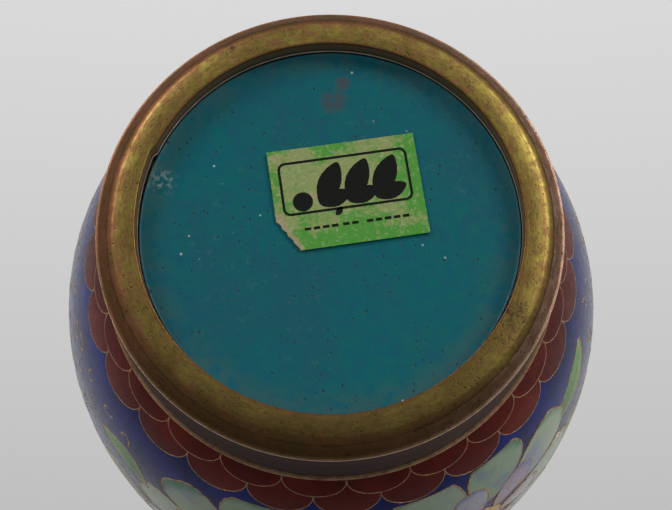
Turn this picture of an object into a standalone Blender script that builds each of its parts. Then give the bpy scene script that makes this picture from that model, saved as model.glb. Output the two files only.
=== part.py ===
"""Cloisonne vase: a round copper body under bands of enamel, with a narrow neck, on a brass foot ring.

Metres, +Z up. The origin is the centre of the ring that the vase stands on.
The wall is built up in layers from one outline: enamel outside, copper, and enamel lining inside.
"""

import math

import bmesh
import bpy
from mathutils import Matrix, Vector

# Driving dimensions of the outer surface.
FOOT_RADIUS = 0.0320
FOOT_HEIGHT = 0.0142
BODY_START = 0.0145
WIDEST_RADIUS = 0.0447
WIDEST_HEIGHT = 0.0620
BOWL_DEPTH = 0.0620
BOWL_FULLNESS = 2.4
WAIST_RADIUS = 0.0145
WAIST_HEIGHT = 0.1300
LIP_RADIUS = 0.0250
LIP_HEIGHT = 0.1710

# How far the shoulder and the neck keep their direction at each end of their curves.
SHOULDER_PULL = 0.0440
NAPE_PULL = 0.0320
THROAT_PULL = 0.0200
FLARE_PULL = (0.0080, 0.0050)

# Thicknesses, from the outside in. The gap keeps neighbouring layers apart.
ENAMEL = 0.0009
COPPER = 0.0011
LINING = 0.0007
GAP = 0.00015

# Foot ring: a flat contact band, a falling outer band, a side wall, and the ledge that holds the base.
CONTACT_INNER_RADIUS = 0.0263
CONTACT_OUTER_RADIUS = 0.0292
CORNER_HEIGHT = 0.0026
FOOT_TOP_RADIUS = 0.0325
FOOT_WALL_INNER_RADIUS = 0.0306
LEDGE_HEIGHT = 0.0039
FALL_STEPS = 3

# Base: the copper plate on the ledge, the enamel under it, and a paper label on the enamel.
PLATE = 0.0010
COUNTER_ENAMEL = 0.0008
LABEL_SIZE = (0.0207, 0.0148)
LABEL_CENTRE = (-0.0024, 0.0051)
LABEL_TURN = math.radians(8.4)
LABEL_THICKNESS = 0.00015
LABEL_TEAR = (0.0029, 0.0047)

# Cloison wires: flat rings between the bands of enamel, and two scalloped rows over the foot.
WIRE_WIDTH = 0.0005
WIRE_PROUD = 0.00008
SCALES = 23
SCALE_STEPS = 4
SCALE_WIRE_WIDTH = 0.0004
SCALE_WIRE_LIFT = 0.00006
SCALE_WIRE_HEIGHT = 0.0002
RIM_RADIUS = 0.0019
RIM_SIDES = 8

# Places along the outline: 0 at the foot, 1 at the widest, 2 at the waist of the neck, 3 at the lip.
FOOT_WIRE = 0.006
LOWER_SCALE_VALLEYS = 0.020
LOWER_SCALE_TIPS = 0.070
UPPER_SCALE_VALLEYS = 0.082
UPPER_SCALE_TIPS = 0.132
SCALE_BAND_TOP = 0.143
SEAM = 1.0
SHOULDER_WIRE_LOW = 1.4
SHOULDER_WIRE_HIGH = 1.6
NECK_SEAM = 1.72
LIP_WIRE = 2.6
LIP_END = 3.0
ROWS_PER_STAGE = (4, 5, 4)

SEGMENTS = 40
ROUND_ANGLE = math.radians(35)


def clear_scene():
    for obj in list(bpy.data.objects):
        bpy.data.objects.remove(obj, do_unlink=True)


def material(name, colour, roughness, metallic=0.0):
    made = bpy.data.materials.new(name)
    made.use_nodes = True
    shader = made.node_tree.nodes["Principled BSDF"]
    shader.inputs["Base Color"].default_value = (*colour, 1.0)
    shader.inputs["Roughness"].default_value = roughness
    shader.inputs["Metallic"].default_value = metallic
    return made


def bezier(points, t):
    weights = ((1 - t) ** 3, 3 * t * (1 - t) ** 2, 3 * t * t * (1 - t), t**3)
    return sum((Vector(p) * w for p, w in zip(points, weights)), Vector((0, 0)))


def outline(u):
    """Radius and height of the outer surface at place u."""
    if u <= 1:
        height = BODY_START + (WIDEST_HEIGHT - BODY_START) * u
        below = max(WIDEST_HEIGHT - height, 0) / BOWL_DEPTH
        return Vector((WIDEST_RADIUS * (1 - below**BOWL_FULLNESS) ** (1 / BOWL_FULLNESS), height))
    if u <= 2:
        shoulder = (
            (WIDEST_RADIUS, WIDEST_HEIGHT),
            (WIDEST_RADIUS, WIDEST_HEIGHT + SHOULDER_PULL),
            (WAIST_RADIUS, WAIST_HEIGHT - NAPE_PULL),
            (WAIST_RADIUS, WAIST_HEIGHT),
        )
        return bezier(shoulder, u - 1)
    throat = (
        (WAIST_RADIUS, WAIST_HEIGHT),
        (WAIST_RADIUS, WAIST_HEIGHT + THROAT_PULL),
        (LIP_RADIUS - FLARE_PULL[0], LIP_HEIGHT - FLARE_PULL[1]),
        (LIP_RADIUS, LIP_HEIGHT),
    )
    return bezier(throat, u - 2)


def direction(u):
    """Unit vector along the outline, upwards."""
    step = 1e-3
    return (outline(min(u + step, LIP_END)) - outline(max(u - step, 0))).normalized()


def wall_point(u, depth, along=0.0):
    """Point at a depth under the outer surface, moved along the outline by a length."""
    ahead = direction(u)
    return outline(u) + ahead * along + Vector((-ahead.y, ahead.x)) * depth


def places(first, last):
    """The two ends, and every shared row of the wall between them."""
    shared = [stage + row / count for stage, count in enumerate(ROWS_PER_STAGE) for row in range(count)]
    shared += [SCALE_BAND_TOP, SHOULDER_WIRE_LOW, SHOULDER_WIRE_HIGH, NECK_SEAM, LIP_WIRE]
    inner = [u for u in sorted(set(shared)) if first + 0.02 < u < last - 0.02]
    return [first, *inner, last]


def finish(name, bm, look, smooth=True):
    bmesh.ops.remove_doubles(bm, verts=bm.verts, dist=1e-6)
    bmesh.ops.recalc_face_normals(bm, faces=bm.faces)
    mesh = bpy.data.meshes.new(name)
    bm.to_mesh(mesh)
    bm.free()
    if smooth:
        mesh.shade_smooth()
        mesh.set_sharp_from_angle(angle=ROUND_ANGLE)
    mesh.materials.append(look)
    obj = bpy.data.objects.new(name, mesh)
    bpy.context.scene.collection.objects.link(obj)
    return obj


def turned(name, points, look):
    """A body of revolution from a closed outline, or from one that starts and ends on the axis."""
    bm = bmesh.new()
    corners = [bm.verts.new((radius, 0, height)) for radius, height in points]
    for start, end in zip(corners, corners[1:]):
        bm.edges.new((start, end))
    if points[0][0] > 0:
        bm.edges.new((corners[-1], corners[0]))
    bmesh.ops.spin(
        bm,
        geom=bm.verts[:] + bm.edges[:],
        cent=(0, 0, 0),
        axis=(0, 0, 1),
        angle=math.tau,
        steps=SEGMENTS,
        use_merge=True,
    )
    return finish(name, bm, look)


def band(name, first, last, outer_depth, inner_depth, look, trim=(0.0, 0.0)):
    """One layer of the wall between two places, with its ends trimmed by a length."""
    rows = places(first, last)
    shifts = [trim[0], *[0.0] * (len(rows) - 2), -trim[1]]
    outside = [wall_point(u, outer_depth, shift) for u, shift in zip(rows, shifts)]
    inside = [wall_point(u, inner_depth, shift) for u, shift in zip(rows, shifts)]
    return turned(name, [*outside, *reversed(inside)], look)


def border_wire(name, u, look):
    """A flat wire ring on edge, standing on the copper and a little proud of the enamel."""
    half = WIRE_WIDTH / 2
    corners = [
        wall_point(u, depth, along)
        for depth, along in ((-WIRE_PROUD, -half), (-WIRE_PROUD, half), (ENAMEL, half), (ENAMEL, -half))
    ]
    return turned(name, corners, look)


def scalloped_wire(name, valleys, tips, turn, look):
    """A wire round the body that rises to a rounded tip over each scale."""
    half = SCALE_WIRE_WIDTH / 2
    under, top = -SCALE_WIRE_LIFT, -SCALE_WIRE_LIFT - SCALE_WIRE_HEIGHT
    corners = ((under, -half), (under, half), (top, half), (top, -half))
    bm = bmesh.new()
    sections = []
    for step in range(SCALES * SCALE_STEPS):
        rise = math.sin(math.pi * (step % SCALE_STEPS) / SCALE_STEPS)
        u = valleys + (tips - valleys) * rise
        angle = math.tau * (step / SCALE_STEPS + turn) / SCALES
        section = []
        for depth, along in corners:
            radius, height = wall_point(u, depth, along)
            section.append(bm.verts.new((radius * math.cos(angle), radius * math.sin(angle), height)))
        sections.append(section)
    for near, far in zip(sections, sections[1:] + sections[:1]):
        for side in range(4):
            after = (side + 1) % 4
            bm.faces.new((near[side], near[after], far[after], far[side]))
    return finish(name, bm, look, smooth=False)


def foot_ring(look):
    fall = []
    for step in range(FALL_STEPS + 1):
        across = step / FALL_STEPS
        radius = CONTACT_OUTER_RADIUS + (FOOT_RADIUS - CONTACT_OUTER_RADIUS) * across
        fall.append((radius, CORNER_HEIGHT * across**1.5))
    points = [
        (CONTACT_INNER_RADIUS, 0.0),
        *fall,
        (FOOT_TOP_RADIUS, FOOT_HEIGHT),
        (FOOT_WALL_INNER_RADIUS, FOOT_HEIGHT),
        (FOOT_WALL_INNER_RADIUS, LEDGE_HEIGHT),
        (CONTACT_INNER_RADIUS, LEDGE_HEIGHT),
    ]
    return turned("foot_ring", points, look)


def disc(name, radius, low, high, look):
    return turned(name, [(0, low), (radius, low), (radius, high), (0, high)], look)


def paper_label(top, look):
    """A small rectangular sheet whose corner is torn off, stuck flat under the base."""
    half_width, half_height = LABEL_SIZE[0] / 2, LABEL_SIZE[1] / 2
    points = [
        (-half_width + LABEL_TEAR[0], -half_height),
        (half_width, -half_height),
        (half_width, half_height),
        (-half_width, half_height),
        (-half_width, -half_height + LABEL_TEAR[1]),
    ]
    bm = bmesh.new()
    sheet = bm.faces.new([bm.verts.new((x, y, 0)) for x, y in points])
    grown = bmesh.ops.extrude_face_region(bm, geom=[sheet])
    lifted = [part for part in grown["geom"] if isinstance(part, bmesh.types.BMVert)]
    bmesh.ops.translate(bm, verts=lifted, vec=(0, 0, LABEL_THICKNESS))
    obj = finish("paper_label", bm, look, smooth=False)
    # The sheet faces down, so its reading direction runs towards -X.
    facing_down = Matrix.Rotation(math.pi, 4, "Y")
    place = Matrix.Translation((*LABEL_CENTRE, top))
    obj.matrix_world = place @ Matrix.Rotation(-LABEL_TURN, 4, "Z") @ facing_down
    return obj


def build_base(brass, copper, teal, paper):
    foot_ring(brass)
    plate_low = LEDGE_HEIGHT + GAP
    disc("base_plate", FOOT_WALL_INNER_RADIUS - GAP, plate_low, plate_low + PLATE, copper)
    enamel_top = LEDGE_HEIGHT
    enamel_low = enamel_top - COUNTER_ENAMEL
    disc("base_counter_enamel", CONTACT_INNER_RADIUS - GAP, enamel_low, enamel_top, teal)
    paper_label(enamel_low - GAP / 3, paper)
    return plate_low + PLATE


def build_copper(floor, copper):
    outer, inner = ENAMEL + GAP, ENAMEL + GAP + COPPER
    collar = FOOT_WALL_INNER_RADIUS - GAP
    rows = places(0.0, SEAM)
    trims = [0.0] * (len(rows) - 1) + [-GAP]
    outside = [wall_point(u, outer, trim) for u, trim in zip(rows, trims)]
    inside = [wall_point(u, inner, trim) for u, trim in zip(rows[1:], trims[1:])]
    step = FOOT_HEIGHT + GAP
    bottom = floor + GAP
    lower = [
        (collar, bottom),
        (collar, step),
        *outside,
        *reversed(inside),
        (collar - COPPER, step),
        (collar - COPPER, bottom),
    ]
    turned("body_lower_shell", lower, copper)
    band("body_upper_shell", SEAM, NECK_SEAM, outer, inner, copper, trim=(GAP, GAP))
    band("neck_shell", NECK_SEAM, LIP_END, outer, inner, copper, trim=(GAP, GAP))


def build_lining(floor, teal):
    outer = ENAMEL + COPPER + 2 * GAP
    inner = outer + LINING
    radius = FOOT_WALL_INNER_RADIUS - COPPER - 2 * GAP
    rows = places(0.0, LIP_END)[1:]
    outside = [wall_point(u, outer) for u in rows[:-1]] + [wall_point(LIP_END, outer, -GAP)]
    inside = [wall_point(u, inner) for u in rows[:-1]] + [wall_point(LIP_END, inner, -GAP)]
    low = floor + GAP
    points = [
        (0, low),
        (radius, low),
        (radius, FOOT_HEIGHT),
        *outside,
        *reversed(inside),
        (radius - LINING, FOOT_HEIGHT),
        (radius - LINING, low + LINING),
        (0, low + LINING),
    ]
    turned("lining_enamel", points, teal)


def build_enamel(looks):
    aside = WIRE_WIDTH / 2 + GAP
    edges = (
        ("scale_enamel", FOOT_WIRE, SCALE_BAND_TOP, aside, GAP / 2),
        ("belly_enamel", SCALE_BAND_TOP, SHOULDER_WIRE_LOW, GAP / 2, aside),
        ("shoulder_enamel", SHOULDER_WIRE_LOW, SHOULDER_WIRE_HIGH, aside, aside),
        ("neck_enamel", SHOULDER_WIRE_HIGH, LIP_WIRE, aside, aside),
        ("lip_enamel", LIP_WIRE, LIP_END, aside, GAP),
    )
    for name, first, last, low_trim, high_trim in edges:
        band(name, first, last, 0.0, ENAMEL, looks[name], trim=(low_trim, high_trim))


def build_wires(gilt):
    border_wire("foot_border_wire", FOOT_WIRE, gilt)
    border_wire("shoulder_wire_low", SHOULDER_WIRE_LOW, gilt)
    border_wire("shoulder_wire_high", SHOULDER_WIRE_HIGH, gilt)
    border_wire("lip_border_wire", LIP_WIRE, gilt)
    scalloped_wire("scale_wire_lower", LOWER_SCALE_VALLEYS, LOWER_SCALE_TIPS, 0.0, gilt)
    scalloped_wire("scale_wire_upper", UPPER_SCALE_VALLEYS, UPPER_SCALE_TIPS, 0.5, gilt)


def build_rim(brass):
    """A brass bead that covers the ends of all three layers of the lip."""
    middle = (ENAMEL + COPPER + LINING) / 2 + GAP
    centre = wall_point(LIP_END, middle, RIM_RADIUS)
    ahead = direction(LIP_END)
    # Rows of flats, so that the bead's lowest flat faces the ends of the layers.
    facing = math.atan2(-ahead.y, -ahead.x)
    points = []
    for side in range(RIM_SIDES):
        angle = facing + math.tau * (side + 0.5) / RIM_SIDES
        points.append(centre + Vector((math.cos(angle), math.sin(angle))) * RIM_RADIUS)
    turned("mouth_rim", points, brass)


def main():
    clear_scene()
    brass = material("brass", (0.55, 0.42, 0.18), 0.35, 1.0)
    gilt = material("gilt_wire", (0.80, 0.62, 0.28), 0.3, 1.0)
    copper = material("copper", (0.60, 0.30, 0.18), 0.45, 1.0)
    teal = material("teal_enamel", (0.02, 0.10, 0.13), 0.2)
    paper = material("green_paper", (0.30, 0.50, 0.15), 0.7)
    enamel = {
        "scale_enamel": material("dark_red_enamel", (0.09, 0.01, 0.01), 0.12),
        "belly_enamel": material("cobalt_enamel", (0.01, 0.03, 0.25), 0.12),
        "shoulder_enamel": material("turquoise_enamel", (0.02, 0.25, 0.28), 0.12),
        "neck_enamel": material("cobalt_neck_enamel", (0.01, 0.03, 0.25), 0.12),
        "lip_enamel": material("dark_red_lip_enamel", (0.09, 0.01, 0.01), 0.12),
    }
    floor = build_base(brass, copper, teal, paper)
    build_copper(floor, copper)
    build_lining(floor, teal)
    build_enamel(enamel)
    build_wires(gilt)
    build_rim(brass)


main()
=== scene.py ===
"""The looks of a cloisonne vase: a worn brass foot, a pitted base, and bright cells between fine wires.

Metres, +Z up. The main camera looks up at the foot from under the floor, which shows its upper side only.
Patterns are drawn on a chart of the outer surface: x runs round the body, and y runs up along its outline.
"""

import math
import random
from bisect import bisect_left

import bmesh
import bpy
from mathutils import Matrix, Vector


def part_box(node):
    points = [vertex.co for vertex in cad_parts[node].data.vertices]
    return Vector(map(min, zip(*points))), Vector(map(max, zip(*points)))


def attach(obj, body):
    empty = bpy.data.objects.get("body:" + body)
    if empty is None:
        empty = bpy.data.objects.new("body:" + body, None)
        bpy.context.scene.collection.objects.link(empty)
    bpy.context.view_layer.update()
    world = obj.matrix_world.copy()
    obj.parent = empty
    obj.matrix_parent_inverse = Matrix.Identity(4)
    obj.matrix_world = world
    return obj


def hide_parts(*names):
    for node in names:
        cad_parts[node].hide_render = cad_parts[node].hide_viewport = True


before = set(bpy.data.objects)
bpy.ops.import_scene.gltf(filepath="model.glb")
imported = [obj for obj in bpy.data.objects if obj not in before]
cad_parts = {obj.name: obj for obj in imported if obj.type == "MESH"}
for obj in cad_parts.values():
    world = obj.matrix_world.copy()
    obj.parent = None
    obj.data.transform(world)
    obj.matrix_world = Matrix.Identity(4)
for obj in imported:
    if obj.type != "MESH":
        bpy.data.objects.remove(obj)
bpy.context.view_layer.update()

MM = 0.001

# The outer surface, as the CAD model turns it.
BODY_START = 14.5 * MM
WIDEST_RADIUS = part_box("belly_enamel")[1].x
WIDEST_HEIGHT = 62.0 * MM
BOWL_DEPTH = 62.0 * MM
BOWL_FULLNESS = 2.4
WAIST_RADIUS = 14.5 * MM
WAIST_HEIGHT = 130.0 * MM
LIP_RADIUS = 25.0 * MM
LIP_HEIGHT = 171.0 * MM
SHOULDER_PULL = 44.0 * MM
NAPE_PULL = 32.0 * MM
THROAT_PULL = 20.0 * MM
FLARE_PULL = (8.0 * MM, 5.0 * MM)
ENAMEL = 0.9 * MM
LINING_DEPTH = 2.3 * MM
LINING = 0.7 * MM

# Places of the bands along the outline: 0 foot, 1 widest, 2 waist of the neck, 3 lip.
FOOT_WIRE = 0.006
SCALE_TOP = 0.143
SHOULDER_LOW = 1.4
SHOULDER_HIGH = 1.6
LIP_WIRE = 2.6
LIP_END = 3.0

# Foot ring, base and label, as the CAD model has them.
FOOT_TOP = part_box("foot_ring")[1]
FOOT_RADIUS = 32.0 * MM
FOOT_WALL_INNER_RADIUS = 30.6 * MM
CONTACT_OUTER_RADIUS = 29.2 * MM
CONTACT_INNER_RADIUS = 26.3 * MM
CORNER_HEIGHT = 2.6 * MM
LEDGE_HEIGHT = 3.9 * MM
BASE_LOW, BASE_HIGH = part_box("base_counter_enamel")
LABEL_LOW, LABEL_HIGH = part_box("paper_label")
LABEL_SIZE = (20.7 * MM, 14.8 * MM)
LABEL_CENTRE = Vector((-2.4 * MM, 5.1 * MM))
LABEL_TURN = math.radians(8.4)
LABEL_TEAR = (2.9 * MM, 4.7 * MM)

# The ring's turned groove and the step at its brazed seam, which the CAD model leaves out.
GROOVE_RADIUS = 30.3 * MM
SEAM_ANGLE = math.radians(23)
SEAM_STEP = 0.42 * MM
SEAM_FADE = math.radians(14)

SCALES = 23
LOWER_TIP = 4.0 * MM
UPPER_TIP = 8.1 * MM
WIRE_WIDTH = 0.34 * MM
WIRE_HEIGHT = 0.03 * MM
CELL_LIFT = 0.012 * MM
FACET = 1.3 * MM
ROUND = 240
SHAPE_POINTS = 22
LEAF_BEND = 0.15

random.seed(11)


# ---------------------------------------------------------------- outline and chart


def bezier(points, t):
    weights = ((1 - t) ** 3, 3 * t * (1 - t) ** 2, 3 * t * t * (1 - t), t**3)
    return sum((Vector(p) * w for p, w in zip(points, weights)), Vector((0, 0)))


def outline(u):
    """Radius and height of the outer surface at place u."""
    if u <= 1:
        height = BODY_START + (WIDEST_HEIGHT - BODY_START) * u
        below = max(WIDEST_HEIGHT - height, 0) / BOWL_DEPTH
        return Vector((WIDEST_RADIUS * (1 - below**BOWL_FULLNESS) ** (1 / BOWL_FULLNESS), height))
    if u <= 2:
        shoulder = (
            (WIDEST_RADIUS, WIDEST_HEIGHT),
            (WIDEST_RADIUS, WIDEST_HEIGHT + SHOULDER_PULL),
            (WAIST_RADIUS, WAIST_HEIGHT - NAPE_PULL),
            (WAIST_RADIUS, WAIST_HEIGHT),
        )
        return bezier(shoulder, u - 1)
    throat = (
        (WAIST_RADIUS, WAIST_HEIGHT),
        (WAIST_RADIUS, WAIST_HEIGHT + THROAT_PULL),
        (LIP_RADIUS - FLARE_PULL[0], LIP_HEIGHT - FLARE_PULL[1]),
        (LIP_RADIUS, LIP_HEIGHT),
    )
    return bezier(throat, min(u, LIP_END) - 2)


def direction(u):
    """Unit vector along the outline, upwards."""
    step = 1e-3
    return (outline(min(u + step, LIP_END)) - outline(max(u - step, 0))).normalized()


def wall_point(u, depth, along=0.0):
    """Point of the outline at a depth under the outer surface, moved along it by a length."""
    ahead = direction(u)
    return outline(u) + ahead * along + Vector((-ahead.y, ahead.x)) * depth


TABLE_STEPS = 900
TABLE_PLACES = [LIP_END * i / TABLE_STEPS for i in range(TABLE_STEPS + 1)]
TABLE_LENGTHS = [0.0]
for near, far in zip(TABLE_PLACES, TABLE_PLACES[1:]):
    TABLE_LENGTHS.append(TABLE_LENGTHS[-1] + (outline(far) - outline(near)).length)


def length_at(u):
    """Length along the outline from the foot to place u."""
    at = u / LIP_END * TABLE_STEPS
    low = min(int(at), TABLE_STEPS - 1)
    return TABLE_LENGTHS[low] + (TABLE_LENGTHS[low + 1] - TABLE_LENGTHS[low]) * (at - low)


def place_at(length):
    """Place u at a length along the outline."""
    high = min(max(bisect_left(TABLE_LENGTHS, length), 1), TABLE_STEPS)
    low = high - 1
    share = (length - TABLE_LENGTHS[low]) / (TABLE_LENGTHS[high] - TABLE_LENGTHS[low])
    return TABLE_PLACES[low] + (TABLE_PLACES[high] - TABLE_PLACES[low]) * share


def on_body(angle, length, lift=0.0):
    """Point in space on the outer surface, lifted off it."""
    radius, height = wall_point(place_at(length), -lift)
    return Vector((radius * math.cos(angle), radius * math.sin(angle), height))


class Chart:
    """Flat drawing coordinates round a point of the body, turned, and cut off at a lowest length."""

    def __init__(self, angle, length, turn=0.0, lowest=0.0):
        self.angle = angle
        self.length = length
        self.lowest = lowest
        self.cos = math.cos(turn)
        self.sin = math.sin(turn)

    def spot(self, point):
        """Angle round the body and length up the outline of a drawn point."""
        x = point[0] * self.cos - point[1] * self.sin
        y = point[0] * self.sin + point[1] * self.cos
        length = max(self.length + y, self.lowest)
        return self.angle + x / outline(place_at(length)).x, length

    def lifted(self, point, lift):
        return on_body(*self.spot(point), lift)


# ---------------------------------------------------------------- mesh helpers


def make_object(name, bm, look, slot, node=(), smooth=True):
    mesh = bpy.data.meshes.new(name)
    bm.to_mesh(mesh)
    bm.free()
    if smooth:
        mesh.shade_smooth()
        mesh.set_sharp_from_angle(angle=math.radians(40))
    mesh.materials.append(look)
    obj = bpy.data.objects.new(name, mesh)
    bpy.context.scene.collection.objects.link(obj)
    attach(obj, "root")
    if node:
        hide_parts(*node)


def neighbours(items, closed=True):
    """Each item with the one after it, and the last with the first again if closed."""
    return zip(items, items[1:] + items[:1] if closed else items[1:])


def asides(path, closed):
    """At each point of a drawn path, the unit vector to its left."""
    count = len(path)
    vectors = []
    for i in range(count):
        before = path[(i - 1) % count] if closed or i > 0 else path[i]
        after = path[(i + 1) % count] if closed or i < count - 1 else path[i]
        ahead = Vector((after[0] - before[0], after[1] - before[1])).normalized()
        vectors.append((-ahead.y, ahead.x))
    return vectors


def turns(count):
    """Even angles of one full turn."""
    return [math.tau * step / count for step in range(count)]


def arc(centre, radius, first, last, steps):
    """Points of an arc about a centre, from one angle to another."""
    angles = [first + (last - first) * step / steps for step in range(steps + 1)]
    return [(centre[0] + radius * math.cos(a), centre[1] + radius * math.sin(a)) for a in angles]


def turned(name, points, look, reshape=None, **kept):
    """A body of revolution from an outline of (radius, height) points, whose points can be reshaped."""
    bm = bmesh.new()
    columns = []
    for angle in turns(ROUND):
        column = []
        for radius, height in points:
            if reshape:
                radius, height = reshape(radius, height, angle)
            column.append(bm.verts.new((radius * math.cos(angle), radius * math.sin(angle), height)))
        columns.append(column)
    for near, far in neighbours(columns):
        for row in range(len(points)):
            after = (row + 1) % len(points)
            bm.faces.new((near[row], far[row], far[after], near[after]))
    bmesh.ops.remove_doubles(bm, verts=bm.verts, dist=1e-7)
    bmesh.ops.recalc_face_normals(bm, faces=bm.faces)
    make_object(name, bm, look, **kept)


def band_rows(first, last, trim):
    """Closed outline of one band of outer enamel, with a row about every millimetre."""
    count = max(2, round((length_at(last) - length_at(first)) / (1.2 * MM)))
    places = [first + (last - first) * i / count for i in range(count + 1)]
    shifts = [trim[0], *[0.0] * (count - 1), -trim[1]]
    outside = [wall_point(u, 0.0, shift) for u, shift in zip(places, shifts)]
    inside = [wall_point(u, ENAMEL, shift) for u, shift in zip(places, shifts)]
    return [*outside, *reversed(inside)]


def refined(path, closed=False):
    """A path with points added until it follows the round body closely."""
    made = []
    for near, far in neighbours(path, closed):
        count = max(1, math.ceil(math.dist(near, far) / FACET))
        made += [tuple(n + (f - n) * i / count for n, f in zip(near, far)) for i in range(count)]
    return made if closed else [*made, path[-1]]


CELL_SLOTS = {
    "scale": "red_enamel",
    "raised_scale": "red_enamel",
    "petal": "turquoise_enamel",
    "blush_petal": "turquoise_enamel",
    "heart": "red_enamel",
    "leaf": "turquoise_enamel",
}


class Cells:
    """Enamel cells and the wires round them: one mesh for each colour, and one for the wires."""

    def __init__(self):
        self.fills = {}
        self.wires = bmesh.new()

    def fill_mesh(self, colour):
        if colour not in self.fills:
            bm = bmesh.new()
            layers = [bm.verts.layers.float.new(name) for name in ("edge", "along", "tone")]
            self.fills[colour] = (bm, layers)
        return self.fills[colour]

    def fill(self, chart, shape, centre, colour, lift):
        """Fills a closed shape, in rings round its centre."""
        bm, (edge, along, tone) = self.fill_mesh(colour)
        shape = refined(shape, closed=True)
        rings = math.ceil(max(math.dist(point, centre) for point in shape) / FACET) + 1
        low, high = min(p[1] for p in shape), max(p[1] for p in shape)
        shade = random.random()

        def corner(point, share):
            vert = bm.verts.new(chart.lifted(point, lift))
            vert[edge] = share
            vert[along] = (point[1] - low) / (high - low)
            vert[tone] = shade
            return vert

        middle = corner(centre, 0.0)
        inner = None
        for ring in range(1, rings + 1):
            share = ring / rings
            points = [(c + (p - c) * share for p, c in zip(point, centre)) for point in shape]
            outer = [corner(tuple(point), share) for point in points]
            for i, vert in enumerate(outer):
                after = (i + 1) % len(outer)
                if inner is None:
                    bm.faces.new((middle, vert, outer[after]))
                else:
                    bm.faces.new((inner[i], vert, outer[after], inner[after]))
            inner = outer

    def wire(self, chart, path, closed=False, width=WIRE_WIDTH, lift=WIRE_HEIGHT):
        """A half-round wire along a drawn path."""
        path = refined(path, closed)
        half = width / 2
        section = [(-half, -lift * 0.5), (-half * 0.8, lift * 0.7), (0, lift)]
        section += [(-across, height) for across, height in section[1::-1]]
        columns = []
        for (x, y), aside in zip(path, asides(path, closed)):
            column = []
            for across, height in section:
                point = (x + aside[0] * across, y + aside[1] * across)
                column.append(self.wires.verts.new(chart.lifted(point, height)))
            columns.append(column)
        for near, far in neighbours(columns, closed):
            for side in range(len(section) - 1):
                self.wires.faces.new((near[side], near[side + 1], far[side + 1], far[side]))

    def cell(self, chart, shape, centre, colour, lift, width=WIRE_WIDTH):
        """A filled cell with a wire round it."""
        self.fill(chart, shape, centre, colour, lift)
        self.wire(chart, shape, closed=True, width=width, lift=lift + WIRE_HEIGHT)

    def make(self, name, looks, wire_look, wire_nodes=()):
        for colour, (bm, _) in self.fills.items():
            bmesh.ops.recalc_face_normals(bm, faces=bm.faces)
            make_object(f"{name}_{colour}", bm, looks[colour], slot=CELL_SLOTS[colour])
        bmesh.ops.recalc_face_normals(self.wires, faces=self.wires.faces)
        make_object(f"{name}_wires", self.wires, wire_look, node=wire_nodes, slot="gilt_wire")


# ---------------------------------------------------------------- materials


class Look:
    """A Principled material and short calls for the nodes that feed it."""

    def __init__(self, name, **sockets):
        self.material = bpy.data.materials.new(name)
        self.material.use_nodes = True
        self.tree = self.material.node_tree
        self.shader = self.tree.nodes["Principled BSDF"]
        self.set(**sockets)

    def feed(self, socket, value):
        if isinstance(value, bpy.types.NodeSocket):
            self.tree.links.new(value, socket)
        elif isinstance(value, tuple) and len(value) == 3 and socket.type == "RGBA":
            socket.default_value = (*value, 1.0)
        else:
            socket.default_value = value

    def node(self, kind, inputs, output=0, **settings):
        made = self.tree.nodes.new(kind)
        for key, value in settings.items():
            setattr(made, key, value)
        for key, value in inputs.items():
            self.feed(made.inputs[key], value)
        return made.outputs[output]

    def math(self, operation, first, second=0.0):
        return self.node("ShaderNodeMath", {0: first, 1: second}, operation=operation)

    def plus(self, first, second):
        return self.math("ADD", first, second)

    def minus(self, first, second):
        return self.math("SUBTRACT", first, second)

    def times(self, first, second):
        return self.math("MULTIPLY", first, second)

    def place(self):
        return self.node("ShaderNodeTexCoord", {}, output="Object")

    def parts(self, vector):
        """The x, y and z of a vector."""
        made = self.tree.nodes.new("ShaderNodeSeparateXYZ")
        self.feed(made.inputs[0], vector)
        return made.outputs

    def ramp(self, value, low, high, start=0.0, end=1.0):
        """Smooth step from start to end as value goes from low to high."""
        inputs = {"Value": value, "From Min": low, "From Max": high, "To Min": start, "To Max": end}
        return self.node("ShaderNodeMapRange", inputs, interpolation_type="SMOOTHSTEP")

    def mix(self, share, first, second):
        return self.node("ShaderNodeMix", {0: share, 6: first, 7: second}, output=2, data_type="RGBA")

    def blend(self, value, low, high, first, second, most=1.0):
        """A colour that goes from first towards second as value goes from low to high."""
        return self.mix(self.ramp(value, low, high, 0.0, most), first, second)

    def noise(self, scale, detail=3.0, rough=0.55, vector=None, **more):
        inputs = {"Vector": vector or self.place(), "Scale": scale, "Detail": detail, "Roughness": rough}
        return self.node("ShaderNodeTexNoise", {**inputs, **more})

    def spots(self, scale, low, high, vector=None):
        """1 in the middle of scattered round spots, 0 outside them."""
        inputs = {"Vector": vector or self.place(), "Scale": scale, "Randomness": 1.0}
        distance = self.node("ShaderNodeTexVoronoi", inputs, output="Distance")
        return self.ramp(distance, low, high, 1.0, 0.0)

    def attribute(self, name):
        return self.node("ShaderNodeAttribute", {}, output="Fac", attribute_name=name)

    def distance(self, first, second):
        """Distance between two points."""
        inputs = {0: first, 1: second}
        return self.node("ShaderNodeVectorMath", inputs, output="Value", operation="DISTANCE")

    def bump(self, height, distance):
        return self.node("ShaderNodeBump", {"Height": height, "Distance": distance, "Strength": 1.0})

    def set(self, **sockets):
        for key, value in sockets.items():
            self.feed(self.shader.inputs[key.replace("_", " ")], value)


def around(look):
    """Radius from the vase's axis, and a vector whose noise is drawn out into circles."""
    x, y, z = look.parts(look.place())
    square = look.plus(look.times(x, x), look.times(y, y))
    radius = look.math("SQRT", square)
    shrunk = look.times(radius, 120.0)
    turned_x = look.math("DIVIDE", x, shrunk)
    turned_y = look.math("DIVIDE", y, shrunk)
    rings = look.node("ShaderNodeCombineXYZ", {0: radius, 1: turned_x, 2: turned_y})
    return radius, z, rings


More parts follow.
